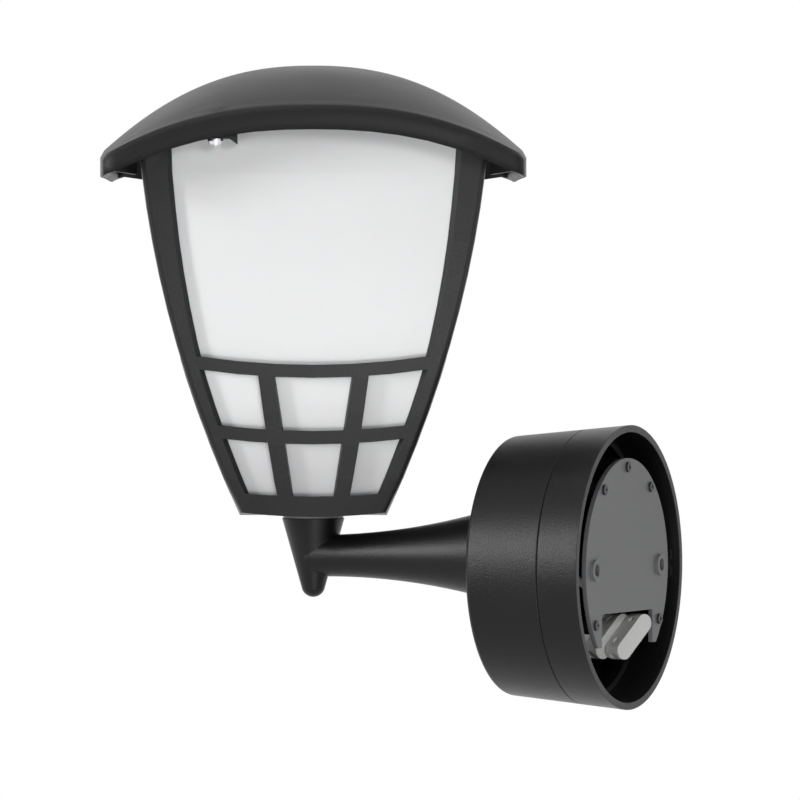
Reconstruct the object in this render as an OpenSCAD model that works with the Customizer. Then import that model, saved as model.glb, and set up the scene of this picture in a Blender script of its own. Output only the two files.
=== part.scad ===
// Wall light: a square lantern that stands on a trumpet arm with a round wall canister.
// Millimetres. +Z is up, the wall is the plane X = 0, and the arm reaches out along -X.
// The origin is the centre of the canister's rear rim.

/* [Layout] */
// Distance from the wall to the lantern's upright axis
reach = 148.8; // [135:1:170]
// Height of the lantern's underside above the canister's axis
lantern_rise = 20.7; // [18:0.1:26]
// Turn of the lantern about its upright axis, away from square to the wall
head_turn = 24.4; // [-40:0.1:40]

/* [Roof] */
// How far the roof's corners stand out past the frame's faces
eaves_overhang = 13.3; // [12:0.1:20]
// How far the middle of each roof edge stands out past the corners
roof_bulge = 2.7; // [1:0.1:4]
// Radius of the roof's upright corner edges
roof_corner = 4.5; // [3.5:0.1:8]
// Wall of the roof
roof_wall = 2.5; // [2:0.1:3]
// Height of the eaves above the lantern's underside at the corners
eaves_z = 152.6; // [150:0.1:156]
// Rise of the arched eaves at the front and back
front_arch = 23.1; // [20:0.1:26]
// Rise of the eaves at the two sides
side_arch = 4; // [2:0.5:8]
// Extra rise of the crown above both arches
crown_rise = 15.9; // [12:0.1:20]
// Height of the skirt that hangs from the eaves
skirt_h = 9.6; // [7:0.1:12]
// Rise of the skirt's lower edge at the very corners
corner_lift = 1.8; // [0:0.1:3]
// Rounding between skirt and dome
eaves_soft = 1.6; // [0.8:0.1:2.5]
// Gap between the roof's underside and the frame and diffuser
roof_gap = 0.3; // [0.2:0.1:0.6]
// Thickness of the ribs inside the roof's corners
rib_t = 2.2; // [1.6:0.1:3]
// Height of the ribs' inner ends above the skirt's lower edge
rib_lift = 4.2; // [0.5:0.1:5]
// Rise of the ribs' lower edges towards the corners
rib_rise = 1.5; // [0.5:0.1:3]

/* [Lantern frame] */
// Half width of the frame's underside across the middles of its faces
foot_half = 32; // [29:0.1:35]
// Half width of the frame at the top of its taper
top_half = 76.3; // [70:0.1:84]
// Height above the eaves up to which the frame's taper is measured
taper_over = 12.4; // [8:0.1:16]
// How far the taper bows outward halfway up
taper_bow = 7.8; // [6:0.1:9]
// Wall of the frame's posts and bars
frame_wall = 2.4; // [2:0.1:3.5]
// Thickness of the floor in the middle
floor_t = 5; // [4:0.1:7]
// How far the underside's corners lie above its middle
foot_lift = 2; // [0:0.1:3]
// Rounding of the posts' outer edges
post_corner = 2.2; // [1:0.1:4]
// Width of a post beside the small windows
post_low = 5.5; // [3:0.1:7]
// Width of a post at the top of the large window
post_high = 10.4; // [8:0.1:13]

/* [Windows] */
// Underside of the small windows in the middle of a face
sill_z = 9; // [8:0.1:13]
// Underside of the lower bar
lower_bar_z = 31.7; // [28:0.1:36]
// Height of the lower bar
lower_bar_h = 5.8; // [4:0.1:8]
// Underside of the upper bar
upper_bar_z = 60.4; // [57:0.1:65]
// Height of the upper bar
upper_bar_h = 5.6; // [4:0.1:8]
// Width of the two upright bars
upright_w = 6.5; // [4:0.1:8]
// Rise of the sill from its middle to a post
sill_smile = 1.2; // [0:0.1:3]
// Rise of the lower bar from its middle to a post
lower_smile = 2.4; // [0:0.1:4]
// Rise of the upper bar from its middle to a post
upper_smile = 3.6; // [1:0.1:6]
// Height of the front and back windows' tops above the eaves, in their middle
front_top_rise = 16.9; // [14:0.1:18]
// Height of the side windows' tops above the eaves, in their middle
side_top_rise = 6.4; // [4:0.1:8]
// Fall of a window's top from its middle to a post
front_top_fall = 10; // [7:0.5:11]
// Fall of a side window's top from its middle to a post
side_top_fall = 3; // [1:0.5:5]

/* [Diffuser] */
// Wall of the opal diffuser
diffuser_wall = 1.8; // [1.2:0.1:2.5]
// Gap between diffuser and frame
diffuser_gap = 0.4; // [0.3:0.1:0.8]
// Width of the diffuser's floor beside its hole
diffuser_sill = 11; // [9:0.1:13]
// Thickness of the foam seal under the diffuser
seal_t = 1.5; // [1:0.1:2.5]
// Width of the foam seal
seal_w = 4; // [3:0.5:6]

/* [Roof fixing] */
// Distance of a roof screw from the middle of its face
lug_offset = 41.7; // [38:0.1:45]
// Distance of a roof screw outside the frame's face
lug_out = 5.9; // [5:0.1:7]
// Width of a screw lug
lug_w = 14; // [12:0.5:18]
// Height of a screw lug's underside above the eaves
lug_rise = 9.7; // [9.2:0.1:10.6]
// Height of a screw lug
lug_h = 7; // [6:0.1:8]
// Drop of the wedge at a lug's inner end
lug_drop = 2.4; // [1:0.1:4]
// Diameter of a roof screw's shank
roof_screw_d = 3; // [2.5:0.1:3.5]
// Diameter of a roof screw's head
roof_screw_head = 6.8; // [6:0.1:7]
// Height of a roof screw's head
roof_screw_head_h = 3.4; // [2:0.1:3.8]

/* [Arm] */
// Radius of the spigot cone at its top
cone_top_r = 13.6; // [13:0.1:16]
// Radius of the spigot cone's rounded tip
cone_tip_r = 5.2; // [4.5:0.1:6]
// Height of the spigot cone from tip to top
cone_h = 34.4; // [32:0.1:40]
// Radius of the arm at its throat
throat_r = 9.1; // [8.5:0.1:10]
// Radius of the arc along which the arm flares
flare_r = 312; // [260:1:350]
// Distance of the throat from the lantern's axis
throat_x = 5; // [3:0.5:10]
// Upward slope of the arm towards the wall
arm_slope = 1.2; // [0:0.1:4]
// Height of the arm's axis above the canister's axis at the spigot
arm_z = 2.9; // [1:0.1:4]
// Diameter of the lead's bore along the arm
lead_bore = 8; // [7:0.5:9]
// Material outside the holes of the screws that hold the arm
arm_screw_wall = 2; // [1.5:0.1:3]
// Gap between these screws' heads and the arm's plug
plug_margin = 1.3; // [1:0.1:3]

/* [Canister] */
// Radius of the rear rim
rear_r = 61; // [60:0.1:64]
// How much smaller the front rim is than the rear one
canister_draft = 5.2; // [3:0.1:7]
// Depth of the canister
canister_depth = 53.4; // [50:0.1:60]
// Distance of the seam from the wall
seam_depth = 19; // [17:0.1:23]
// Wall of the canister
canister_wall = 3; // [2.5:0.1:3.5]
// Rounding of the front rim
rim_round = 2.4; // [1.5:0.1:3]
// Width of the groove at the seam
seam_groove = 0.4; // [0.3:0.1:1]
// Length of the ring's lip inside the front cup
lap_length = 5; // [3:0.1:8]
// Gap around the lip
lap_gap = 0.2; // [0.1:0.05:0.4]
// Diameter of the half-round side bosses
side_boss_d = 12; // [10:0.5:13]

/* [Mounting plate] */
// Gap between the mounting plate and the canister's wall
plate_gap = 11.2; // [9:0.1:13]
// Thickness of the mounting plate
plate_t = 2; // [1.5:0.1:3]
// Distance of the plate from the wall
plate_recess = 1.2; // [1.1:0.1:3]
// Distance of the wall-screw holes inside the plate's edge
wall_hole_inset = 9.8; // [8.5:0.1:11]
// Diameter of the wall-screw holes
wall_hole_d = 5.4; // [4.5:0.1:6]
// Outer diameter of the collars round the wall-screw holes
collar_d = 9.4; // [9:0.1:12]
// Distance of the five plate screws inside the plate's edge
plate_screw_inset = 3.8; // [3.6:0.1:5]

/* [Terminal block] */
// Length of one pole
pole_length = 24; // [20:0.5:25]
// Width of one pole
pole_w = 8; // [7:0.1:8.2]
// Height of one pole
pole_h = 8; // [7:0.5:9]
// Spacing of the poles
pole_pitch = 10; // [9.5:0.1:10.5]

/* [Lamp holder] */
// Gap between the lamp's screw shell and the holder's sleeve
holder_room = 1.85; // [1.5:0.05:3]
// Inner diameter of the lamp's screw shell
lamp_thread_d = 26.5; // [26.3:0.1:27]
// Depth of the lamp's screw shell
lamp_thread_h = 22; // [20:0.5:24]
// Diameter of the threaded tube
tube_d = 10; // [9.5:0.1:10.5]
// Bore of the threaded tube
tube_bore = 7; // [6.5:0.1:7.5]
// Height of the lock nut
nut_h = 5; // [4:0.1:6]
// Width of the lock nut across its flats
nut_flats = 16; // [15:0.5:18]

/* [Hidden] */
// Number of faces round a circle
$fn = 64;
// Overrun of cuts past the faces that they open
cut = 1;
// Running clearance round a shaft
run_gap = 0.05;
// Clearance between a screw and its hole
screw_gap = 0.2;
// Gap between faces that turn past each other
swivel_gap = 0.2;
// Exponent of the roof's arches: 2 is a parabola, more is flatter on top
arch_power = 2.3;
// Exponent that keeps the lift of the skirt's edge to the corners
corner_power = 16;
// Share by which a face's middle stands out past its corners
face_bulge_share = 0.02;
// Places of the upright bars as a share of the window's half width
upright_share = 0.42;
// Rings of the dome as shares of its width
dome_shares = [0.14, 0.28, 0.42, 0.56, 0.69, 0.8, 0.89, 0.95];
// Half section of a screw's pan head as shares of its diameter and height
pan_shares = [[0, 0], [0.28, 0.06], [0.42, 0.28], [0.5, 0.7], [0.5, 1], [0, 1]];
// Number of steps along a side of the roof and of the lantern's walls, and round a corner
roof_side_steps = 14;
wall_side_steps = 6;
corner_steps = 3;
// Number of rings of the lantern's walls
wall_steps = 10;
// Number of steps along a window's curved edge and up its side
edge_steps = 6;
jamb_steps = 4;

// Half width of the roof at its corners
roof_half = top_half + eaves_overhang;
// Height over which the frame's taper is measured
taper_h = eaves_z + taper_over;
// Tops of the windows in their middle
front_top_z = eaves_z + front_top_rise;
side_top_z = eaves_z + side_top_rise;
// Hole in the diffuser's floor
diffuser_hole = 2 * (foot_half - diffuser_sill);
// Distance of a roof screw from the lantern's axis, square to the face
lug_reach = top_half + lug_out;
// Underside of a screw lug
lug_z = eaves_z + lug_rise;
// Thickness of the washer between spigot and lantern
washer_t = 1.2;
// Radius of the washers
washer_r = cone_top_r - 0.4 * washer_t;
// Top of the spigot cone above the canister's axis
cone_top_z = lantern_rise - swivel_gap - washer_t;
// Bottom of the spigot cone
cone_tip_z = cone_top_z - cone_h;
// Length of the arm from the lantern's axis to the canister
arm_length = reach - canister_depth;
// Height at which the arm's axis meets the canister
arm_foot_z = arm_z + arm_length * tan(arm_slope);
// Depth of the blind screw holes in the arm's foot
arm_screw_depth = 9;
// Diameter of the small screws inside
small_screw_d = 3;
// Diameter of their heads
small_head_d = 5.6;
// Height of their heads
small_head_h = 2;
// Pitch radius of the screws that hold the arm
arm_screw_pitch = flare(arm_length - throat_x - arm_screw_depth) - small_screw_d / 2 - arm_screw_wall;
// Diameter of the arm's plug in the canister wall
plug_d = 2 * arm_screw_pitch - small_head_d - 2 * plug_margin;
// Places of the five plate screws round the axis
plate_screw_angles = [90, 52, 128, -33, 213];
// Places of the three arm screws round the axis
arm_screw_angles = [90, 210, 330];
// Radius of the canister's front rim
front_r = rear_r - canister_draft;
// Radius of the mounting plate
plate_r = rear_r - canister_wall - plate_gap;
// Distance between the two wall-screw holes
wall_hole_spacing = 2 * (plate_r - wall_hole_inset);
// Pitch radius of the plate screws
plate_screw_pitch = plate_r - plate_screw_inset;
// Half width of the cable notch, its top and the legs' ends below the axis, as shares of the plate's radius
notch_half_share = 0.62;
notch_top_share = 0.406;
leg_end_share = 0.71;
notch_half = notch_half_share * plate_r;
notch_top = notch_top_share * plate_r;
leg_end = leg_end_share * plate_r;
// Radius on which the side bosses lie
side_boss_pitch = rear_r - canister_wall - 0.25 * side_boss_d;
// Depth at which the side bosses begin
side_boss_start = 4;
// How far they reach past the seam
side_boss_reach = 14;
side_boss_end = seam_depth + side_boss_reach;
// Depth of the plate screws past the plate
plate_screw_reach = 10;
// Diameter of the bosses that take the roof screws
roof_boss_d = 7;
// Diameter of the columns that carry the plate
column_d = 7.6;
// Place of the terminal block: the first pole's depth, and shares of the plate's radius across and down
block_depth = 8.4;
block_across_share = 0.406;
block_down_share = 0.652;
block_at = [-block_depth, block_across_share * plate_r, -block_down_share * plate_r];
// Attitude of its poles
block_tilt = 45;
block_yaw = -27;
// Web that joins the poles
block_web_t = 3;
// Post that carries the block
block_post_d = 8;
// Sizes of the lamp holder, counted from the lantern's underside
holder_wall = 2.4;
holder_base_h = 14;
nut_room = 3;
holder_base_z = floor_t + nut_h + nut_room;
insulator_h = 6;
tube_above = 10;
thread_wall = 0.5;
holder_d = lamp_thread_d + 2 * (thread_wall + holder_room + holder_wall);
contact_d = 7;
contact_h = 2;
// Length of the threaded tube inside the spigot
tube_below = 12;
// Bottom of the threaded tube above the canister's axis
tube_foot_z = cone_top_z - tube_below;
// Diameter of the lead
lead_d = 3.6;
// How far the lead lies below the middle of the arm's bore
lead_low = 1.5;
// Radius of the lead's bend from the arm into the tube
lead_bend = 8;
// Length over which the lead stays straight at the terminal block and at the arm's mouth
lead_straight = 12;
// Number of faces round the lead
lead_sides = 8;

// Plan outlines and skins

// Point p turned by angle a about Z
function turned(p, a) = [p.x * cos(a) - p.y * sin(a), p.x * sin(a) + p.y * cos(a)];

// Square with bowed sides and round corners, counted anticlockwise
function square_outline(half, bulge, corner, steps) =
    let (flat = half - corner,
         side = [for (i = [0 : steps])
             let (t = 2 * i / steps - 1) [t * flat, -half - bulge * (1 - t * t)]],
         bend = [for (i = [1 : corner_steps - 1])
             let (a = 90 * i / corner_steps - 90) [flat + corner * cos(a), corner * sin(a) - flat]])
    [for (q = [0 : 3]) each [for (p = concat(side, bend)) turned(p, 90 * q)]];

// Closed solid through rings of points, from a first apex to a last one
module skin(first, rings, last) {
    n = len(rings[0]);
    m = len(rings);
    end = n * m + 1;
    polyhedron(
        points = concat([first], [for (ring = rings) each ring], [last]),
        faces = concat(
            [for (j = [0 : n - 1]) [0, 1 + j, 1 + (j + 1) % n]],
            [for (i = [0 : m - 2], j = [0 : n - 1], half = [0, 1])
                let (a = 1 + i * n + j, b = 1 + i * n + (j + 1) % n)
                half == 0 ? [a, a + n, b + n] : [a, b + n, b]],
            [for (j = [0 : n - 1]) [end, 1 + (m - 1) * n + (j + 1) % n, 1 + (m - 1) * n + j]]),
        convexity = 6);
}

// Places

module at_head() translate([-reach, 0, lantern_rise]) rotate([0, 0, head_turn]) children();
module at_lantern_axis() translate([-reach, 0, 0]) children();
module at_spigot() translate([-reach, 0, arm_z]) rotate([0, -arm_slope, 0]) children();
// Local Z runs from the wall into the canister, and local X is up
module on_wall() rotate([0, -90, 0]) children();
module on_arm_foot() on_wall() translate([arm_foot_z, 0, canister_depth - canister_wall]) children();
module round_the_axis(angles, pitch) {
    for (a = angles) translate([pitch * sin(a), pitch * cos(a), 0]) children();
}

// Roof

function arch(share) = 1 - pow(abs(share), arch_power);
// Height of the roof's outer face above the lantern's underside
function roof_z(p) =
    let (u = arch(p.x / (roof_half + roof_bulge)), v = arch(p.y / (roof_half + roof_bulge)))
    eaves_z + front_arch * u + side_arch * v + crown_rise * u * v;
// Height of the roof's underside
function under_roof_z(p) = roof_z(p) - roof_wall;

function roof_ring(inset, share, drop) =
    [for (p = square_outline(roof_half - inset, roof_bulge, roof_corner - inset, roof_side_steps))
        [p.x * share, p.y * share, roof_z(p * share) - drop]];
// The skirt's lower edge, which rises at the corners
function skirt_ring(inset) =
    [for (p = roof_ring(inset, 1, skirt_h))
        [p.x, p.y, p.z + corner_lift * pow(min(abs(p.x), abs(p.y)) / roof_half, corner_power)]];

module roof_shell() {
    inner = [for (s = dome_shares) roof_ring(roof_wall, s, roof_wall)];
    outer = [for (i = [len(dome_shares) - 1 : -1 : 0]) roof_ring(0, dome_shares[i], 0)];
    skin(
        [0, 0, roof_z([0, 0]) - roof_wall],
        concat(
            inner,
            [roof_ring(roof_wall, 1, roof_wall), skirt_ring(roof_wall), skirt_ring(0),
             roof_ring(0, 1, eaves_soft), roof_ring(0, 1 - eaves_soft / roof_half, 0)],
            outer),
        [0, 0, roof_z([0, 0])]);
}

// Rib that stiffens a corner and locates the roof round the frame
module corner_rib() {
    diagonal = sqrt(2);
    inner = (corner_half(eaves_z) + post_corner) * diagonal;
    outer = (roof_half - roof_wall) * diagonal - roof_corner + roof_wall;
    inner_top = under_roof_z([inner, inner] / diagonal) + roof_wall / 2;
    outer_top = under_roof_z([outer, outer] / diagonal) + roof_wall / 2;
    low = eaves_z - skirt_h + rib_lift;
    side = [[inner, low], [outer, low + rib_rise], [outer, outer_top], [inner, inner_top]];
    rotate([0, 0, 45]) rotate([90, 0, 0]) translate([0, 0, -rib_t / 2]) linear_extrude(rib_t) polygon(side);
}

module at_lugs() for (a = [0, 180]) rotate([0, 0, a]) translate([-lug_offset, -lug_reach, 0]) children();

module roof() color([0.16, 0.16, 0.17]) at_head() {
    boss_top = under_roof_z([lug_offset, lug_reach]) + roof_wall / 4;
    boss_foot = lug_z + lug_h + roof_gap;
    difference() {
        union() {
            roof_shell();
            for (q = [0 : 3]) rotate([0, 0, 90 * q]) corner_rib();
            at_lugs() translate([0, 0, boss_foot])
                cylinder(d = roof_boss_d, h = boss_top - boss_foot);
        }
        at_lugs() translate([0, 0, boss_foot - cut])
            cylinder(d = roof_screw_d + screw_gap, h = boss_top - boss_foot - roof_wall + cut);
    }
}

module roof_screws() color([0.8, 0.8, 0.82]) at_head() at_lugs() {
    shank_top = under_roof_z([lug_offset, lug_reach]) - roof_wall;
    translate([0, 0, lug_z]) cylinder(d = roof_screw_d, h = shank_top - lug_z - screw_gap);
    pan_head(lug_z, roof_screw_head, roof_screw_head_h);
}

// Pan head that hangs below height z, with a domed face and a cross recess
module pan_head(z, d, h) {
    slot = d / 7;
    difference() {
        translate([0, 0, z - h]) rotate_extrude()
            polygon([for (p = pan_shares) [p.x * d, p.y * h]]);
        for (a = [0, 90]) rotate([0, 0, a])
            translate([-d / 4, -slot / 2, z - h - cut]) cube([d / 2, slot, h / 2 + cut]);
    }
}

// Lantern frame

// Half width across the middles of the faces at height z
function face_half(z) =
    let (f = z / taper_h) foot_half + (top_half - foot_half) * f + 4 * taper_bow * f * (1 - f);
// Half width of the flat square behind the bulge
function corner_half(z) = face_half(z) / (1 + face_bulge_share);
function wall_ring(z, inset) =
    let (half = corner_half(z))
    [for (p = square_outline(half - inset, half * face_bulge_share, post_corner, wall_side_steps))
        [p.x, p.y, z]];
// The ring at which a wall meets the roof's underside, lowered by the gap
function ring_under_roof(inset, lift) =
    let (ring = wall_ring(taper_h, inset))
    [for (p = ring) [p.x, p.y, under_roof_z(p) - roof_gap + lift]];
function wall_rings(from, to, inset) =
    [for (i = [0 : wall_steps]) wall_ring(from + (to - from) * i / wall_steps, inset)];

// Solid inside the wall's face at a given inset, up to the roof
module wall_solid(from, inset, lift) {
    to = eaves_z - skirt_h / 2;
    skin([0, 0, from], concat(wall_rings(from, to, inset), [ring_under_roof(inset, lift)]),
        [0, 0, under_roof_z([0, 0]) - roof_gap + lift]);
}

// Outer solid with the dished underside
module frame_outer() {
    half = corner_half(0);
    foot = [for (p = wall_ring(0, 0)) [p.x, p.y, foot_lift * pow(p.x * p.y / (half * half), 2)]];
    to = eaves_z - skirt_h / 2;
    rise = to - foot_lift;
    skin([0, 0, 0],
        concat([foot], [for (i = [1 : wall_steps]) wall_ring(foot_lift + rise * i / wall_steps, 0)],
            [ring_under_roof(0, 0)]),
        [0, 0, under_roof_z([0, 0])]);
}

// Width of a post, from the small windows up to the top of the large one
function post_width(z) =
    let (f = (z - upper_bar_z) / (eaves_z - upper_bar_z))
    post_low + (post_high - post_low) * max(0, min(1, f));
function window_half(z) = corner_half(z) - post_width(z);
// The windows are cut along lines that meet on the lantern's axis. Their outline is drawn at the
// frame's top half width, so a width at height z is spread by this factor.
function spread(z) = top_half / face_half(z);
// Height of an edge at share t of the half width, with its middle at z
function edge_z(z, smile, t) = z + smile * t * t;
// Points of a horizontal edge from left to right, cut short by a share of the half width
function edge(z, smile, left, right) =
    [for (i = [0 : edge_steps])
        let (t = left + (right - left) * i / edge_steps, h = edge_z(z, smile, t))
        [t * window_half(h) * spread(h), h]];
function reversed(list) = [for (i = [len(list) - 1 : -1 : 0]) list[i]];

// One opening between a lower and an upper edge
module opening(low_z, low_smile, high_z, high_smile) {
    foot = edge_z(low_z, low_smile, 1);
    rise = edge_z(high_z, high_smile, 1) - foot;
    sides = [for (i = [1 : jamb_steps - 1]) foot + rise * i / jamb_steps];
    polygon(concat(
        edge(low_z, low_smile, -1, 1),
        [for (h = sides) [window_half(h) * spread(h), h]],
        reversed(edge(high_z, high_smile, -1, 1)),
        [for (h = reversed(sides)) [-window_half(h) * spread(h), h]]));
}

// The two upright bars between the small windows
module uprights() {
    low = sill_z - cut;
    high = upper_bar_z + upper_smile + cut;
    for (side = [-1, 1]) {
        x_low = side * upright_share * window_half(low) * spread(low);
        x_high = side * upright_share * window_half(high) * spread(high);
        half_low = upright_w / 2 * spread(low);
        half_high = upright_w / 2 * spread(high);
        polygon([[x_low - half_low, low], [x_low + half_low, low], [x_high + half_high, high],
                 [x_high - half_high, high]]);
    }
}

module small_windows() difference() {
    union() {
        opening(sill_z, sill_smile, lower_bar_z, lower_smile);
        opening(lower_bar_z + lower_bar_h, lower_smile, upper_bar_z, upper_smile);
    }
    uprights();
}

// Cutter that narrows towards the lantern's axis, between two distances from it
module converging(near, far)
    translate([0, -near, 0]) rotate([90, 0, 0])
        linear_extrude(height = far - near, scale = [far / near, 1], slices = 1)
            scale([near / top_half, 1]) children();

module window_cutters(top_z, top_fall) {
    bar_face = face_half(upper_bar_z + upper_smile);
    converging(corner_half(upper_bar_z) - 1.5 * frame_wall, face_half(taper_h) + frame_wall)
        opening(upper_bar_z + upper_bar_h, upper_smile, top_z, -top_fall);
    converging(corner_half(sill_z) - 1.5 * frame_wall, bar_face + frame_wall) small_windows();
}

// Distance of a face from the lantern's axis at height z, a distance x from the face's middle
function face_y(x, z) =
    let (half = corner_half(z)) half + half * face_bulge_share * (1 - pow(x / half, 2));

module lug() {
    left = lug_drop - lug_w / 2;
    right = lug_drop + lug_w / 2;
    wedge_start = right - roof_screw_head / 2;
    inner = face_y(lug_offset, lug_z) - frame_wall / 2;
    outer = lug_reach + roof_screw_head / 2 + lap_gap;
    rotate([90, 0, 0]) translate([0, 0, inner - lug_reach])
        linear_extrude(outer - inner)
            polygon([[left, lug_z], [wedge_start, lug_z], [right, lug_z - lug_drop], [right, lug_z + lug_h],
                     [left, lug_z + lug_h]]);
}

module lantern_frame() color([0.13, 0.13, 0.14]) at_head() difference() {
    union() {
        difference() {
            frame_outer();
            wall_solid(floor_t, frame_wall, cut);
            for (q = [0, 180]) rotate([0, 0, q]) window_cutters(front_top_z, front_top_fall);
            for (q = [90, 270]) rotate([0, 0, q]) window_cutters(side_top_z, side_top_fall);
        }
        at_lugs() lug();
    }
    translate([0, 0, -cut]) cylinder(d = tube_d + 2 * run_gap, h = floor_t + 2 * cut);
    at_lugs() translate([0, 0, lug_z - cut])
        cylinder(d = roof_screw_d + 2 * screw_gap, h = lug_h + 2 * cut);
}

// Diffuser

module diffuser() color([0.9, 0.9, 0.9]) at_head() difference() {
    inset = frame_wall + diffuser_gap;
    foot = floor_t + seal_t;
    wall_solid(foot, inset, 0);
    wall_solid(foot + diffuser_wall, inset + diffuser_wall, cut);
    translate([0, 0, foot - cut]) cylinder(d = diffuser_hole, h = diffuser_wall + 2 * cut);
}

module diffuser_seal() color([0.2, 0.2, 0.2]) at_head() translate([0, 0, floor_t]) difference() {
    cylinder(d = diffuser_hole + 2 * seal_w, h = seal_t);
    translate([0, 0, -cut]) cylinder(d = diffuser_hole, h = seal_t + 2 * cut);
}

// Lamp holder, which stays on the threaded tube when the lantern turns

module at_holder(z) at_lantern_axis() translate([0, 0, lantern_rise + z]) children();

module holder_base() color([0.1, 0.1, 0.1]) at_holder(holder_base_z) difference() {
    rotate_extrude() polygon([[tube_d * 0.7, 0], [holder_d * 0.36, 0], [holder_d / 2, holder_base_h * 0.6],
        [holder_d / 2, holder_base_h], [0, holder_base_h], [0, 0]]);
    translate([0, 0, tube_above]) cylinder(d = holder_d - 2 * holder_wall, h = holder_base_h);
    translate([0, 0, -cut]) cylinder(d = tube_d + 2 * run_gap, h = holder_base_h);
}

module holder_shell() color([0.1, 0.1, 0.1]) at_holder(holder_base_z + holder_base_h) difference() {
    cylinder(d = holder_d, h = insulator_h + lamp_thread_h + holder_wall);
    translate([0, 0, -cut])
        cylinder(d = holder_d - 2 * holder_wall, h = insulator_h + lamp_thread_h + holder_wall + 2 * cut);
    for (a = [0 : 30 : 330]) rotate([0, 0, a])
        translate([holder_d / 2, 0, insulator_h]) cylinder(d = holder_wall / 2, h = lamp_thread_h);
}

module holder_insulator() color([0.85, 0.84, 0.8]) at_holder(holder_base_z + holder_base_h) difference() {
    cylinder(d = holder_d - 2 * holder_wall - 2 * run_gap, h = insulator_h);
    for (side = [-1, 1]) translate([side * holder_d / 5, 0, insulator_h / 2])
        cylinder(d = small_screw_d + screw_gap, h = insulator_h);
}

module holder_thread() color([0.8, 0.66, 0.35]) at_holder(holder_base_z + holder_base_h + insulator_h)
    difference() {
        union() {
            cylinder(d = holder_d - 2 * holder_wall - 2 * run_gap, h = thread_wall);
            cylinder(d = lamp_thread_d + 2 * thread_wall, h = lamp_thread_h);
        }
        translate([0, 0, -cut]) cylinder(d = lamp_thread_d, h = lamp_thread_h + 2 * cut);
    }

module centre_contact() color([0.8, 0.66, 0.35]) at_holder(holder_base_z + holder_base_h + insulator_h)
    cylinder(d = contact_d, h = contact_h);

module contact_screws() color([0.7, 0.7, 0.7]) at_holder(holder_base_z + holder_base_h + insulator_h / 2)
    for (side = [-1, 1]) translate([side * holder_d / 5, 0, 0])
        cylinder(d = small_screw_d, h = insulator_h / 2);

// Joint between spigot and lantern

module threaded_tube() color([0.7, 0.7, 0.65]) at_lantern_axis() translate([0, 0, tube_foot_z]) difference() {
    height = lantern_rise + holder_base_z + tube_above - tube_foot_z;
    cylinder(d = tube_d, h = height);
    translate([0, 0, -cut]) cylinder(d = tube_bore, h = height + 2 * cut);
}

module nut_washer() color([0.7, 0.7, 0.7]) at_holder(floor_t + swivel_gap) difference() {
    cylinder(r = washer_r, h = washer_t);
    translate([0, 0, -cut]) cylinder(d = tube_d + 2 * run_gap, h = washer_t + 2 * cut);
}

module lock_nut() color([0.75, 0.75, 0.75]) at_holder(floor_t + swivel_gap + washer_t) difference() {
    cylinder(d = nut_flats / cos(30), h = nut_h, $fn = 6);
    translate([0, 0, -cut]) cylinder(d = tube_d + 2 * run_gap, h = nut_h + 2 * cut);
}

module swivel_washer() color([0.55, 0.55, 0.55]) at_holder(cone_top_z - lantern_rise) difference() {
    cylinder(r = washer_r, h = washer_t);
    translate([0, 0, -cut]) cylinder(d = tube_d + 2 * run_gap, h = washer_t + 2 * cut);
}

// Arm and spigot

// The spigot's outline: rounded tip, then a straight cone
function spigot_outline() =
    concat([for (a = [-90 : 10 : -10]) [max(0, cone_tip_r * cos(a)), cone_tip_z + cone_tip_r * (1 + sin(a))]],
        [[cone_top_r, cone_top_z], [0, cone_top_z]]);

// Radius of the flare at distance s from the throat
function flare(s) = throat_r + flare_r - sqrt(flare_r * flare_r - s * s);

// Half section of the trumpet, from the lantern's axis to past the canister's face
function trumpet_outline() =
    let (end = arm_length - throat_x + canister_wall, steps = 16)
    concat([[0, 0], [throat_r, 0]],
        [for (i = [0 : steps]) let (s = end * i / steps) [flare(s), throat_x + s]],
        [[0, throat_x + end]]);

module arm_body() {
    at_lantern_axis() rotate_extrude() polygon(spigot_outline());
    intersection() {
        at_spigot() rotate([0, 90, 0]) rotate_extrude() polygon(trumpet_outline());
        translate([-reach, -reach / 2, -reach / 2]) cube([arm_length, reach, reach]);
    }
    on_arm_foot() cylinder(d = plug_d, h = 2 * canister_wall);
}

module arm() color([0.15, 0.15, 0.16]) difference() {
    arm_body();
    at_spigot() rotate([0, 90, 0]) cylinder(d = lead_bore, h = arm_length);
    on_arm_foot() translate([0, 0, -cut]) cylinder(d = plug_d / 2, h = 4 * canister_wall);
    at_lantern_axis() translate([0, 0, tube_foot_z]) cylinder(d = tube_d + 2 * run_gap, h = cone_h);
    at_lantern_axis() translate([0, 0, arm_z]) cylinder(d = tube_bore, h = cone_h);
    on_arm_foot() round_the_axis(arm_screw_angles, arm_screw_pitch) translate([0, 0, canister_wall - cut])
        cylinder(d = small_screw_d + screw_gap, h = arm_screw_depth + cut);
}

module arm_screws() color([0.5, 0.5, 0.5]) on_arm_foot() round_the_axis(arm_screw_angles, arm_screw_pitch) {
    cylinder(d = small_screw_d, h = canister_wall + arm_screw_depth - cut);
    translate([0, 0, -small_head_h]) cylinder(d = small_head_d, h = small_head_h);
}

// Canister

function canister_r(depth) = rear_r + (front_r - rear_r) * depth / canister_depth;

// Half section of the front cup as radius and depth
function cup_outline() =
    let (groove = seam_depth + seam_groove, corner = canister_depth - rim_round,
         inner = canister_depth - canister_wall, seam_r = canister_r(seam_depth))
    concat(
        [[seam_r - canister_wall, seam_depth], [seam_r - seam_groove, seam_depth],
         [canister_r(groove), groove]],
        [for (a = [0 : 15 : 90])
            [canister_r(corner) - rim_round + rim_round * cos(a), corner + rim_round * sin(a)]],
        [[0, canister_depth], [0, inner], [canister_r(inner) - canister_wall, inner]]);

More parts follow.
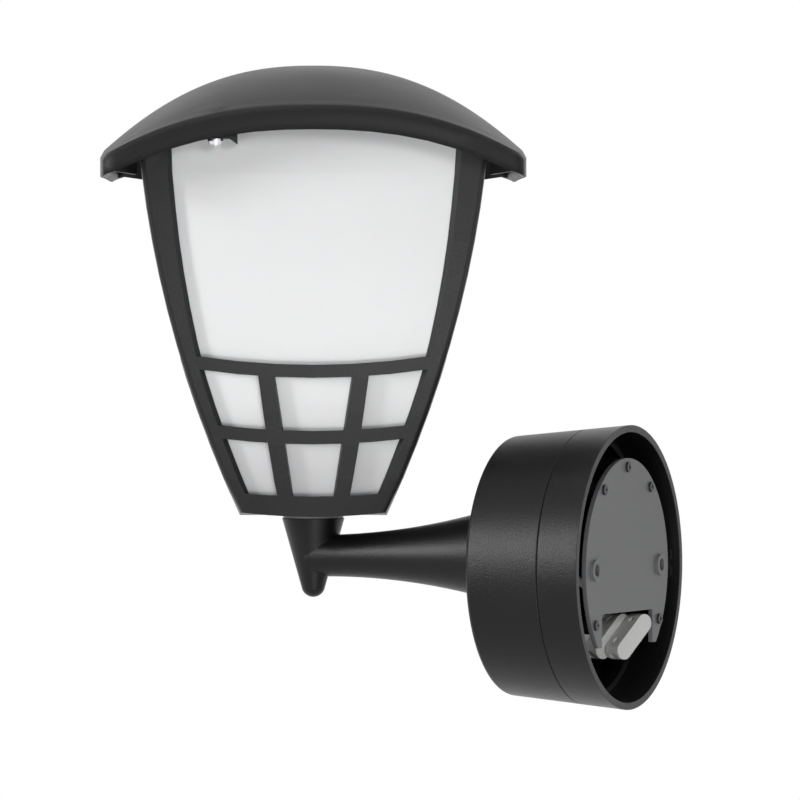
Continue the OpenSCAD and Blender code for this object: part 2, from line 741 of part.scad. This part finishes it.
module canister_front() color([0.14, 0.14, 0.15]) on_wall() difference() {
    plate_front = plate_recess + plate_t;
    union() {
        rotate_extrude() polygon(cup_outline());
        round_the_axis(plate_screw_angles, plate_screw_pitch) translate([0, 0, plate_front])
            cylinder(d = column_d, h = canister_depth - canister_wall / 2 - plate_front);
        intersection() {
            round_the_axis([0, 180], side_boss_pitch) translate([0, 0, seam_depth + lap_length + lap_gap])
                cylinder(d = side_boss_d, h = side_boss_end - seam_depth - lap_length);
            cylinder(r1 = rear_r - canister_wall / 2, r2 = front_r - canister_wall / 2, h = canister_depth);
        }
        translate([block_post_at().x, block_post_at().y, block_post_depth()])
            cylinder(d = block_post_d, h = canister_depth - canister_wall / 2 - block_post_depth());
    }
    translate([arm_foot_z, 0, canister_depth - canister_wall - cut]) {
        cylinder(d = plug_d + 2 * lap_gap, h = canister_wall + 2 * cut);
        round_the_axis(arm_screw_angles, arm_screw_pitch)
            cylinder(d = small_screw_d + 2 * screw_gap, h = canister_wall + 2 * cut);
    }
    round_the_axis(plate_screw_angles, plate_screw_pitch) translate([0, 0, plate_front - cut])
        cylinder(d = small_screw_d + screw_gap, h = plate_screw_reach + cut);
    round_the_axis([0, 180], side_boss_pitch) translate([0, 0, seam_depth])
        cylinder(d = small_screw_d + screw_gap, h = side_boss_end - seam_depth - cut);
}

// Half section of the ring, with the lip that laps inside the front cup
function ring_outline() =
    let (seam_r = canister_r(seam_depth), lip_r = seam_r - canister_wall - lap_gap,
         lip_end = seam_depth + lap_length, step = seam_depth - canister_wall,
         groove = seam_depth - seam_groove,
         face = seam_depth - lap_gap / 2, lip_inner = lip_r - canister_wall / 2)
    [[rear_r - canister_wall, 0], [rear_r, 0], [canister_r(groove), groove], [seam_r - seam_groove, face],
     [lip_r, face], [lip_outer_r(lip_end), lip_end], [lip_inner, lip_end], [lip_inner, step],
     [canister_r(step) - canister_wall, step]];
// Outer radius of the lip at a depth
function lip_outer_r(depth) = canister_r(depth) - canister_wall - lap_gap;

module canister_ring() color([0.12, 0.12, 0.13]) on_wall() difference() {
    union() {
        rotate_extrude() polygon(ring_outline());
        intersection() {
            round_the_axis([0, 180], side_boss_pitch) translate([0, 0, side_boss_start])
                cylinder(d = side_boss_d, h = seam_depth + lap_length - side_boss_start);
            cylinder(r1 = rear_r - canister_wall / 2, r2 = lip_outer_r(seam_depth + lap_length),
                h = seam_depth + lap_length);
        }
    }
    round_the_axis([0, 180], side_boss_pitch) translate([0, 0, side_boss_start - cut]) {
        cylinder(d = small_screw_d + 2 * screw_gap, h = seam_depth + lap_length);
        cylinder(d = small_head_d + 2 * screw_gap, h = small_head_h + cut);
    }
}

module ring_screws() color([0.3, 0.3, 0.3]) on_wall() round_the_axis([0, 180], side_boss_pitch)
    translate([0, 0, side_boss_start]) {
        cylinder(d = small_head_d, h = small_head_h);
        cylinder(d = small_screw_d, h = side_boss_end - side_boss_start - 2 * cut);
    }

module mounting_plate() color([0.42, 0.42, 0.43]) on_wall() difference() {
    union() {
        translate([0, 0, plate_recess]) cylinder(r = plate_r, h = plate_t);
        round_the_axis([0, 180], wall_hole_spacing / 2)
            cylinder(d = collar_d, h = plate_recess + plate_t / 2);
    }
    translate([-plate_r - cut, -notch_half, plate_recess - cut])
        cube([plate_r + cut - notch_top, 2 * notch_half, plate_t + 2 * cut]);
    translate([-plate_r - cut, -plate_r, plate_recess - cut])
        cube([plate_r + cut - leg_end, 2 * plate_r, plate_t + 2 * cut]);
    round_the_axis([0, 180], wall_hole_spacing / 2) translate([0, 0, -cut])
        cylinder(d = wall_hole_d, h = plate_recess + plate_t + 2 * cut);
    round_the_axis(plate_screw_angles, plate_screw_pitch) translate([0, 0, plate_recess - cut])
        cylinder(d = small_screw_d + 2 * screw_gap, h = plate_t + 2 * cut);
}

module plate_screws() color([0.1, 0.1, 0.1]) on_wall() round_the_axis(plate_screw_angles, plate_screw_pitch) {
    translate([0, 0, plate_recess]) cylinder(d = small_screw_d, h = plate_t + plate_screw_reach - cut);
    translate([0, 0, plate_recess - small_head_h / 2]) difference() {
        cylinder(d = small_head_d * 0.8, h = small_head_h / 2);
        for (a = [0, 90]) rotate([0, 0, a]) translate([-small_head_d / 4, -small_head_d / 16, -cut])
            cube([small_head_d / 2, small_head_d / 8, small_head_h / 4 + cut]);
    }
}

// Terminal block, whose poles step back from the notch

// Post that carries the block, in canister coordinates
function block_post_at() = [block_at.z - pole_h / 4, block_at.y];
function block_post_depth() = -block_at.x + 2 * pole_pitch + pole_w / 2 + block_web_t;

module at_pole(i) translate([block_at.x - i * pole_pitch, block_at.y, block_at.z])
    rotate([0, 0, block_yaw]) rotate([block_tilt, 0, 0]) children();

// One pole lies along local Y, with round ends
module pole_blank() {
    flat = pole_length - pole_h;
    rotate([0, 90, 0]) translate([0, 0, -pole_w / 2]) {
        for (side = [-1, 1]) translate([0, side * flat / 2, 0]) cylinder(d = pole_h, h = pole_w);
        translate([-pole_h / 2, -flat / 2, 0]) cube([pole_h, flat, pole_w]);
    }
}

module terminal_block() color([0.88, 0.88, 0.86]) difference() {
    union() {
        for (i = [0 : 2]) at_pole(i) pole_blank();
        on_wall() translate([block_post_at().x, block_post_at().y, -block_at.x])
            cylinder(d = block_post_d * 0.8, h = 2 * pole_pitch + pole_w / 2 + block_web_t);
    }
    for (i = [0 : 2]) at_pole(i) {
        rotate([90, 0, 0]) cylinder(d = pole_h / 2, h = pole_length + cut, center = true);
        for (side = [-1, 1]) translate([0, side * pole_length / 4, 0])
            cylinder(d = small_screw_d + screw_gap, h = pole_h);
    }
}

module terminal_inserts() color([0.8, 0.66, 0.35]) for (i = [0 : 2]) at_pole(i) difference() {
    rotate([90, 0, 0]) cylinder(d = pole_h / 2 - screw_gap, h = pole_length * 0.7, center = true);
    rotate([90, 0, 0]) cylinder(d = pole_h / 4, h = pole_length + cut, center = true);
    for (side = [-1, 1]) translate([0, side * pole_length / 4, 0])
        cylinder(d = small_screw_d + screw_gap, h = pole_h);
}

module terminal_screws() color([0.7, 0.7, 0.7]) for (i = [0 : 2], side = [-1, 1]) at_pole(i)
    translate([0, side * pole_length / 4, pole_h / 8]) cylinder(d = small_screw_d, h = pole_h / 4);

// Lead

function unit(v) = v / norm(v);
// Point at share t of a smooth curve from a to d, which leaves towards b and arrives from c
function curve(a, b, c, d, t) =
    let (u = 1 - t) u * u * u * a + 3 * u * u * t * b + 3 * u * t * t * c + t * t * t * d;
// Place of the lead in the arm's bore at distance s from the lantern's axis
function in_bore(s) = [s - reach, 0, arm_z + s * tan(arm_slope) - lead_low];
// Direction along the poles of the terminal block
pole_way = [-sin(block_yaw) * cos(block_tilt), cos(block_yaw) * cos(block_tilt), sin(block_tilt)];
// The lead's route from the last pole through the arm and up the tube
lead_from = block_at - [2 * pole_pitch, 0, 0] + pole_way * (pole_length / 2 + lap_gap);
lead_mouth = in_bore(arm_length + canister_wall);
lead_route = concat(
    [for (t = [0 : 1 / 6 : 1])
        curve(lead_from, lead_from + pole_way * lead_straight,
            lead_mouth + [lead_straight, 0, 0], lead_mouth, t)],
    [for (share = [0.85, 0.7, 0.5, 0.3]) in_bore(arm_length * share)],
    [for (a = [0 : 18 : 90]) in_bore(lead_bend) + lead_bend * [-sin(a), 0, 1 - cos(a)]],
    [for (top = [tube_foot_z + tube_below, lantern_rise + holder_base_z + holder_base_h - screw_gap])
        [-reach, 0, top]]);
function route_direction(route, i) = unit(route[min(i + 1, len(route) - 1)] - route[max(i - 1, 0)]);
function tube_ring(centre, direction, radius) =
    let (across = unit(cross(direction, [0, 1, 0])), up = cross(direction, across))
    [for (i = [0 : lead_sides - 1]) let (a = 360 * i / lead_sides)
        centre + radius * (cos(a) * across + sin(a) * up)];

module lamp_lead() color([0.85, 0.85, 0.85])
    skin(lead_route[0],
        [for (i = [0 : len(lead_route) - 1])
            tube_ring(lead_route[i], route_direction(lead_route, i), lead_d / 2)],
        lead_route[len(lead_route) - 1]);

roof();
roof_screws();
lantern_frame();
diffuser();
diffuser_seal();
holder_base();
holder_shell();
holder_insulator();
holder_thread();
centre_contact();
contact_screws();
threaded_tube();
nut_washer();
lock_nut();
swivel_washer();
arm();
arm_screws();
canister_front();
canister_ring();
ring_screws();
mounting_plate();
plate_screws();
terminal_block();
terminal_inserts();
terminal_screws();
lamp_lead();
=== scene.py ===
import math

import bmesh
import bpy
from mathutils import Matrix, Vector


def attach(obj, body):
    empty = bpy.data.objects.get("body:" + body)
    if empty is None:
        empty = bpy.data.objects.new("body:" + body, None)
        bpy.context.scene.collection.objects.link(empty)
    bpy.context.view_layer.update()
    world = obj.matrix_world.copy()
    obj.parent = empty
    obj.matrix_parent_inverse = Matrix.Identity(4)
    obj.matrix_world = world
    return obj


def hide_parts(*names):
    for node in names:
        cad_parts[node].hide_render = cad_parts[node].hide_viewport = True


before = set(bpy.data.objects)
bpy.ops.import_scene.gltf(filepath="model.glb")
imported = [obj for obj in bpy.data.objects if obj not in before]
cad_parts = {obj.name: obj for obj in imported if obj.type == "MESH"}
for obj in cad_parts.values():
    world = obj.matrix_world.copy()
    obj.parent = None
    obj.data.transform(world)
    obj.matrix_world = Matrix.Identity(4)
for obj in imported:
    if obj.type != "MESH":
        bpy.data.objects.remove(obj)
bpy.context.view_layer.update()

# Camera and picture. The picture is 800 by 800 pixels, and the sensor is in millimetres.
PICTURE = 800
SENSOR = 36.0
FOCAL_PIXELS = 7497.0
VIEW_DEPTH = 200.0
CAMERA_PLACE = Vector((1.196, -2.978, 0.1218))
CAMERA_AZIMUTH = math.radians(23.64)
HORIZON_ROW = 282.9

# The roof's shape as in the CAD, in metres, counted from the lantern's underside on its own axis
LANTERN_FOOT = Vector((-0.1488, 0, 0.0207))
LANTERN_TURN = math.radians(24.4)
ROOF_HALF = 0.0923
EAVES_HEIGHT = 0.1526
FRONT_ARCH = 0.0231
SIDE_ARCH = 0.004
CROWN_RISE = 0.0159
ARCH_POWER = 2.3
ROOF_TOLERANCE = 0.00008
ROOF_WELD = 0.00001
ROOF_CUTS = 3

# Angles in degrees below which two faces shade as one curve
SMOOTH_BELOW = 28
ROOF_SMOOTH_BELOW = 35

# Edges of moulded plastic: the width that is rubbed, how much, and the agreement of the rounded normal
# with the true one at which the rubbing starts and is full
RUBBED_WIDTH = 0.0005
RUBBED_SHARE = 0.7
RUB_STARTS = 0.995
RUB_FULL = 0.8

# Radius by which edges catch the light, in metres
PLASTIC_EDGE = 0.0005
METAL_EDGE = 0.0003
DOME_EDGE = 0.005

# Moulded plastic: waves per metre of its cloudy tone, what grain and clouds add between its dark and
# its light tone, how far its roughness drifts, and the strength of its grain
PLASTIC_CLOUD = 24.0
GRAIN_TONE = (-0.35, 0.5)
CLOUD_TONE = (0.1, 0.7)
ROUGHNESS_DROP = 0.06
ROUGHNESS_RISE = 0.08
PLASTIC_BUMP = 0.6

# Metal: waves per metre of its clouds and marks, the marks' depth in metres and strength, and how they
# change its roughness
METAL_CLOUD = 60.0
METAL_GRAIN = 600.0
METAL_DEPTH = 0.00002
METAL_BUMP = 0.5
METAL_SMOOTHEST = 0.7
METAL_ROUGHEST = 1.4

# Opal plastic: waves per metre of its clouds and grain, the grain's depth in metres and strength, its
# roughness, how much light scatters in it and how deep
OPAL_CLOUD = 9.0
OPAL_GRAIN = 900.0
OPAL_DEPTH = 0.00003
OPAL_BUMP = 0.3
OPAL_ROUGHNESS = (0.33, 0.42)
OPAL_SCATTER = 0.15
OPAL_SCATTER_DEPTH = 0.004

# Heights in metres between which the painted shade on the opal plastic's foot, a greyer tone, fades into
# its clear white
OPAL_SHADE_FULL_BELOW = 0.01
OPAL_SHADE_GONE_ABOVE = 0.085

# Point at which the lamps aim
LIT_POINT = Vector((-0.12, 0, 0.05))

# Floor and backdrop
FLOOR_DEPTH = 0.4
FLOOR_SIZE = 60.0
FLOOR_TONE = (0.8, 0.8, 0.8)
WHITE = (1, 1, 1, 1)
SKY_LIGHT = 0.22


def new_material(name, base, roughness, metallic=0.0):
    material = bpy.data.materials.new(name)
    material.use_nodes = True
    shader = material.node_tree.nodes["Principled BSDF"]
    shader.inputs["Base Color"].default_value = (*base, 1)
    shader.inputs["Roughness"].default_value = roughness
    shader.inputs["Metallic"].default_value = metallic
    return material, material.node_tree, shader


def add(tree, kind, **values):
    """Add a node. Values are sockets by name with blanks as underscores, or the node's own settings."""
    made = tree.nodes.new(kind)
    for key, value in values.items():
        socket = made.inputs.get(key.replace("_", " "))
        if socket is not None:
            socket.default_value = value
        else:
            setattr(made, key, value)
    return made


def object_place(tree):
    return add(tree, "ShaderNodeTexCoord").outputs["Object"]


def noise(tree, scale, detail=2.0, roughness=0.5):
    made = add(tree, "ShaderNodeTexNoise", Scale=scale, Detail=detail, Roughness=roughness)
    tree.links.new(object_place(tree), made.inputs["Vector"])
    return made.outputs["Fac"]


def spread(tree, value, low, high):
    """Map a 0 to 1 value onto low to high."""
    made = add(tree, "ShaderNodeMapRange")
    made.inputs["To Min"].default_value = low
    made.inputs["To Max"].default_value = high
    tree.links.new(value, made.inputs["Value"])
    return made.outputs["Result"]


def blend_colours(tree, amount, dark, light):
    made = add(tree, "ShaderNodeMix", data_type="RGBA")
    made.inputs["A"].default_value = (*dark, 1)
    made.inputs["B"].default_value = (*light, 1)
    tree.links.new(amount, made.inputs["Factor"])
    return made.outputs["Result"]


def add_values(tree, first, second, clamp=False):
    made = add(tree, "ShaderNodeMath", operation="ADD", use_clamp=clamp)
    tree.links.new(first, made.inputs[0])
    tree.links.new(second, made.inputs[1])
    return made.outputs["Value"]


def edge_mask(tree):
    """1 on sharp edges and 0 on flat ground: how far the rounded normal leaves the true one."""
    soft = add(tree, "ShaderNodeBevel", Radius=RUBBED_WIDTH)
    true = add(tree, "ShaderNodeNewGeometry")
    dot = add(tree, "ShaderNodeVectorMath", operation="DOT_PRODUCT")
    tree.links.new(soft.outputs["Normal"], dot.inputs[0])
    tree.links.new(true.outputs["Normal"], dot.inputs[1])
    made = add(tree, "ShaderNodeMapRange")
    made.inputs["From Min"].default_value = RUB_STARTS
    made.inputs["From Max"].default_value = RUB_FULL
    tree.links.new(dot.outputs["Value"], made.inputs["Value"])
    return made.outputs["Result"]


def bump(tree, shader, height, distance, strength, round_edges=None):
    made = add(tree, "ShaderNodeBump", Strength=strength, Distance=distance)
    tree.links.new(height, made.inputs["Height"])
    if round_edges:
        soft = add(tree, "ShaderNodeBevel", Radius=round_edges)
        tree.links.new(soft.outputs["Normal"], made.inputs["Normal"])
    tree.links.new(made.outputs["Normal"], shader.inputs["Normal"])


def moulded_plastic(
    name, dark, light, edge, roughness, grain, depth=0.00012, gloss=0.5, rounding=PLASTIC_EDGE
):
    """Satin moulded plastic: fine leather-like grain, cloudy tone, and edges rubbed slightly lighter."""
    material, tree, shader = new_material(name, light, roughness)
    shader.inputs["Specular IOR Level"].default_value = gloss
    fine = noise(tree, grain, 3.0, 0.6)
    cloud = noise(tree, PLASTIC_CLOUD, 4.0, 0.6)
    tone = add_values(tree, spread(tree, fine, *GRAIN_TONE), spread(tree, cloud, *CLOUD_TONE), True)
    ground = blend_colours(tree, tone, dark, light)
    rub = add(tree, "ShaderNodeMath", operation="MULTIPLY")
    tree.links.new(edge_mask(tree), rub.inputs[0])
    tree.links.new(spread(tree, cloud, 0, RUBBED_SHARE), rub.inputs[1])
    worn = add(tree, "ShaderNodeMix", data_type="RGBA")
    worn.inputs["B"].default_value = (*edge, 1)
    tree.links.new(rub.outputs["Value"], worn.inputs["Factor"])
    tree.links.new(ground, worn.inputs["A"])
    tree.links.new(worn.outputs["Result"], shader.inputs["Base Color"])
    drift = spread(tree, cloud, roughness - ROUGHNESS_DROP, roughness + ROUGHNESS_RISE)
    tree.links.new(drift, shader.inputs["Roughness"])
    bump(tree, shader, fine, depth, PLASTIC_BUMP, rounding)
    return material


def metal(name, base, shade, roughness):
    """Bare or plated metal with fine marks and an uneven sheen."""
    material, tree, shader = new_material(name, base, roughness, 1.0)
    marks = noise(tree, METAL_GRAIN, 4.0, 0.6)
    cloud = noise(tree, METAL_CLOUD, 3.0)
    tree.links.new(blend_colours(tree, cloud, shade, base), shader.inputs["Base Color"])
    sheen = spread(tree, marks, roughness * METAL_SMOOTHEST, roughness * METAL_ROUGHEST)
    tree.links.new(sheen, shader.inputs["Roughness"])
    bump(tree, shader, marks, METAL_DEPTH, METAL_BUMP, METAL_EDGE)
    return material


def opal_plastic():
    """Satin opal plastic: light scatters inside it, its tone drifts a little, and its foot is greyer with
    painted shade.
    """
    material, tree, shader = new_material("opal_plastic", (0.86, 0.86, 0.86), 0.38)
    cloud = noise(tree, OPAL_CLOUD, 3.0, 0.5)
    fine = noise(tree, OPAL_GRAIN, 2.0)
    clear = blend_colours(tree, cloud, (0.77, 0.77, 0.775), (0.82, 0.82, 0.82))
    # Painted shade: a darker grey tone that stands in for the shade on the opal plastic's foot
    painted_shade_tone = blend_colours(tree, cloud, (0.5, 0.5, 0.51), (0.54, 0.54, 0.545))
    place = add(tree, "ShaderNodeSeparateXYZ")
    tree.links.new(object_place(tree), place.inputs["Vector"])
    height = add(tree, "ShaderNodeMapRange", interpolation_type="SMOOTHSTEP")
    height.inputs["From Min"].default_value = OPAL_SHADE_FULL_BELOW
    height.inputs["From Max"].default_value = OPAL_SHADE_GONE_ABOVE
    tree.links.new(place.outputs["Z"], height.inputs["Value"])
    # Mix by height: full painted shade at the foot, fading into the clear white above
    tone = add(tree, "ShaderNodeMix", data_type="RGBA")
    tree.links.new(height.outputs["Result"], tone.inputs["Factor"])
    tree.links.new(painted_shade_tone, tone.inputs["A"])
    tree.links.new(clear, tone.inputs["B"])
    tree.links.new(tone.outputs["Result"], shader.inputs["Base Color"])
    tree.links.new(spread(tree, cloud, *OPAL_ROUGHNESS), shader.inputs["Roughness"])
    shader.inputs["Subsurface Weight"].default_value = OPAL_SCATTER
    shader.inputs["Subsurface Scale"].default_value = OPAL_SCATTER_DEPTH
    bump(tree, shader, fine, OPAL_DEPTH, OPAL_BUMP)
    return material


# Plastics: darkest and lightest tone of the ground, tone of rubbed edges, roughness, grain and its depth
charcoal = moulded_plastic(
    "charcoal_plastic", (0.002, 0.002, 0.0022), (0.009, 0.009, 0.0095), (0.07, 0.07, 0.075),
    0.32, 1700, 0.0002, gloss=0.22
)
frame_plastic = moulded_plastic(
    "frame_plastic", (0.003, 0.003, 0.0033), (0.012, 0.012, 0.0125), (0.07, 0.07, 0.075),
    0.34, 1700, 0.0002, gloss=0.32
)
roof_plastic = moulded_plastic(
    "roof_plastic", (0.003, 0.003, 0.0033), (0.009, 0.009, 0.01), (0.06, 0.06, 0.065),
    0.38, 1700, 0.0002, gloss=0.22, rounding=DOME_EDGE
)
holder_plastic = moulded_plastic(
    "holder_plastic", (0.02, 0.02, 0.02), (0.035, 0.035, 0.035), (0.1, 0.1, 0.1), 0.35, 900
)
foam = moulded_plastic(
    "foam_rubber", (0.02, 0.02, 0.02), (0.05, 0.05, 0.05), (0.06, 0.06, 0.06), 0.85, 2600, 0.0003
)
white_plastic = moulded_plastic(
    "white_plastic", (0.6, 0.6, 0.59), (0.74, 0.74, 0.73), (0.85, 0.85, 0.84), 0.45, 900
)
ceramic = moulded_plastic(
    "ceramic", (0.7, 0.69, 0.65), (0.8, 0.79, 0.75), (0.85, 0.84, 0.8), 0.3, 700
)
lead_sheath = moulded_plastic(
    "lead_sheath", (0.6, 0.6, 0.58), (0.72, 0.72, 0.7), (0.75, 0.75, 0.73), 0.5, 500
)
pale_washer = moulded_plastic(
    "pale_washer", (0.2, 0.2, 0.2), (0.3, 0.3, 0.3), (0.4, 0.4, 0.4), 0.4, 900
)
plate_paint = moulded_plastic(
    "plate_steel", (0.1, 0.102, 0.105), (0.16, 0.163, 0.168), (0.32, 0.32, 0.33), 0.45, 1800
)

# Metals: tone, tone of its clouds, and roughness
chrome = metal("bright_screw", (0.8, 0.8, 0.82), (0.62, 0.62, 0.64), 0.16)
dark_metal = metal("dark_screw", (0.09, 0.09, 0.095), (0.05, 0.05, 0.05), 0.38)
zinc = metal("zinc_steel", (0.6, 0.6, 0.6), (0.45, 0.46, 0.46), 0.35)
brass = metal("brass", (0.8, 0.62, 0.32), (0.62, 0.47, 0.24), 0.28)
opal = opal_plastic()

FINISH = {
    "roof": roof_plastic,
    "lantern_frame": frame_plastic,
    "arm": charcoal,
    "canister_front": charcoal,
    "canister_ring": charcoal,
    "diffuser": opal,
    "diffuser_seal": foam,
    "roof_screws": chrome,
    "plate_screws": dark_metal,
    "ring_screws": dark_metal,
    "arm_screws": zinc,
    "contact_screws": zinc,
    "terminal_screws": zinc,
    "threaded_tube": zinc,
    "nut_washer": zinc,
    "lock_nut": zinc,
    "swivel_washer": pale_washer,
    "mounting_plate": plate_paint,
    "holder_base": holder_plastic,
    "holder_shell": holder_plastic,
    "holder_insulator": ceramic,
    "holder_thread": brass,
    "centre_contact": brass,
    "terminal_inserts": brass,
    "terminal_block": white_plastic,
    "lamp_lead": lead_sheath,
}
for node, material in FINISH.items():
    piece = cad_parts[node]
    piece.data.materials.clear()
    piece.data.materials.append(material)


def smooth_by_angle(piece, degrees):
    piece.data.polygons.foreach_set("use_smooth", [True] * len(piece.data.polygons))
    piece.data.set_sharp_from_angle(angle=math.radians(degrees))


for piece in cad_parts.values():
    smooth_by_angle(piece, SMOOTH_BELOW)


# Roof: the CAD's facets are too coarse for its shine, so its dome is cut finer and laid on the true curve


def arch(share):
    return 1 - abs(share) ** ARCH_POWER


def dome_height(place):
    across, along = arch(place.x / ROOF_HALF), arch(place.y / ROOF_HALF)
    return EAVES_HEIGHT + FRONT_ARCH * across + SIDE_ARCH * along + CROWN_RISE * across * along


def fine_roof(node, material):
    mesh = node.data.copy()
    to_lantern = (Matrix.Translation(LANTERN_FOOT) @ Matrix.Rotation(LANTERN_TURN, 4, "Z")).inverted()
    form = bmesh.new()
    form.from_mesh(mesh)
    form.transform(to_lantern)
    bmesh.ops.remove_doubles(form, verts=form.verts, dist=ROOF_WELD)
    on_dome = {v for v in form.verts if abs(v.co.z - dome_height(v.co)) < ROOF_TOLERANCE}
    edges = [e for e in form.edges if e.verts[0] in on_dome and e.verts[1] in on_dome]
    cut = bmesh.ops.subdivide_edges(form, edges=edges, cuts=ROOF_CUTS, use_grid_fill=True)
    for item in cut["geom_inner"]:
        if isinstance(item, bmesh.types.BMVert):
            item.co.z = dome_height(item.co)
    form.transform(to_lantern.inverted())
    form.to_mesh(mesh)
    form.free()
    piece = bpy.data.objects.new("roof_cap", mesh)
    bpy.context.scene.collection.objects.link(piece)
    mesh.materials.clear()
    mesh.materials.append(material)
    smooth_by_angle(piece, ROOF_SMOOTH_BELOW)
    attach(piece, "lantern")
    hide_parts("roof")


fine_roof(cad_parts["roof"], roof_plastic)


# Camera: level lines stay level, and the picture's centre lies below the horizon

camera_data = bpy.data.cameras.new("camera")
camera_data.sensor_width = SENSOR
camera_data.lens = SENSOR * FOCAL_PIXELS / PICTURE
camera_data.clip_end = VIEW_DEPTH
camera = bpy.data.objects.new("camera", camera_data)
camera.location = CAMERA_PLACE
camera_pitch = math.atan((PICTURE / 2 - HORIZON_ROW) / FOCAL_PIXELS)
camera.rotation_euler = (math.pi / 2 - camera_pitch, 0, CAMERA_AZIMUTH)
bpy.context.scene.collection.objects.link(camera)
bpy.context.scene.camera = camera


# Floor, world and lights


def white_rays(tree, path):
    """1 for the rays of the camera, of mirrors and through glass, and 0 for all others."""
    mirrored = add_values(tree, path.outputs["Is Glossy Ray"], path.outputs["Is Transmission Ray"])
    return add_values(tree, path.outputs["Is Camera Ray"], mirrored, True)


def backdrop_material(name, colour):
    """White to the camera, to mirrors and through glass, and a plain pale floor to every other ray."""
    material = bpy.data.materials.new(name)
    material.use_nodes = True
    tree = material.node_tree
    tree.nodes.clear()
    plain = add(tree, "ShaderNodeBsdfDiffuse", Color=(*colour, 1))
    white = add(tree, "ShaderNodeEmission", Color=WHITE, Strength=1.0)
    path = add(tree, "ShaderNodeLightPath")
    mixed = add(tree, "ShaderNodeMixShader")
    tree.links.new(white_rays(tree, path), mixed.inputs["Fac"])
    tree.links.new(plain.outputs["BSDF"], mixed.inputs[1])
    tree.links.new(white.outputs["Emission"], mixed.inputs[2])
    out = add(tree, "ShaderNodeOutputMaterial")
    tree.links.new(mixed.outputs["Shader"], out.inputs["Surface"])
    return material


def flat_sheet(name, centre, size):
    half = size / 2
    corners = [(-half, -half, 0), (half, -half, 0), (half, half, 0), (-half, half, 0)]
    mesh = bpy.data.meshes.new(name)
    mesh.from_pydata([Vector(c) + Vector(centre) for c in corners], [], [(0, 1, 2, 3)])
    sheet = bpy.data.objects.new(name, mesh)
    bpy.context.scene.collection.objects.link(sheet)
    return sheet


floor = flat_sheet("floor", (0, 0, -FLOOR_DEPTH), FLOOR_SIZE)
floor.data.materials.append(backdrop_material("floor_white", FLOOR_TONE))

world = bpy.data.worlds.new("world")
bpy.context.scene.world = world
world.use_nodes = True
world_tree = world.node_tree
world_tree.nodes.clear()
sky_seen = add(world_tree, "ShaderNodeBackground", Color=WHITE, Strength=1.0)
sky_light = add(world_tree, "ShaderNodeBackground", Color=WHITE, Strength=SKY_LIGHT)
sky_path = add(world_tree, "ShaderNodeLightPath")
sky_mix = add(world_tree, "ShaderNodeMixShader")
sky_out = add(world_tree, "ShaderNodeOutputWorld")
world_tree.links.new(white_rays(world_tree, sky_path), sky_mix.inputs["Fac"])
world_tree.links.new(sky_light.outputs["Background"], sky_mix.inputs[1])
world_tree.links.new(sky_seen.outputs["Background"], sky_mix.inputs[2])
world_tree.links.new(sky_mix.outputs["Shader"], sky_out.inputs["Surface"])


def soft_box(name, azimuth, elevation, distance, width, height, power):
    """A lamp aimed at the object. Azimuth counts from -Y towards +X, in degrees as elevation does."""
    data = bpy.data.lights.new(name, "AREA")
    data.shape = "RECTANGLE"
    data.size = width
    data.size_y = height
    data.energy = power
    light = bpy.data.objects.new(name, data)
    turn, lift = math.radians(azimuth), math.radians(elevation)
    away = Vector((math.sin(turn) * math.cos(lift), -math.cos(turn) * math.cos(lift), math.sin(lift)))
    light.location = LIT_POINT + away * distance
    light.rotation_euler = (-away).to_track_quat("-Z", "Y").to_euler()
    bpy.context.scene.collection.objects.link(light)


soft_box("left_light", azimuth=-42, elevation=14, distance=2.5, width=0.3, height=0.9, power=44)
soft_box("right_light", azimuth=42, elevation=12, distance=2.5, width=0.5, height=0.5, power=13)
soft_box("top_light", azimuth=-60, elevation=78, distance=1.9, width=0.8, height=0.8, power=5)
soft_box("low_light", azimuth=30, elevation=-26, distance=0.75, width=0.26, height=0.18, power=1.0)

bpy.context.scene.view_settings.view_transform = "Standard"
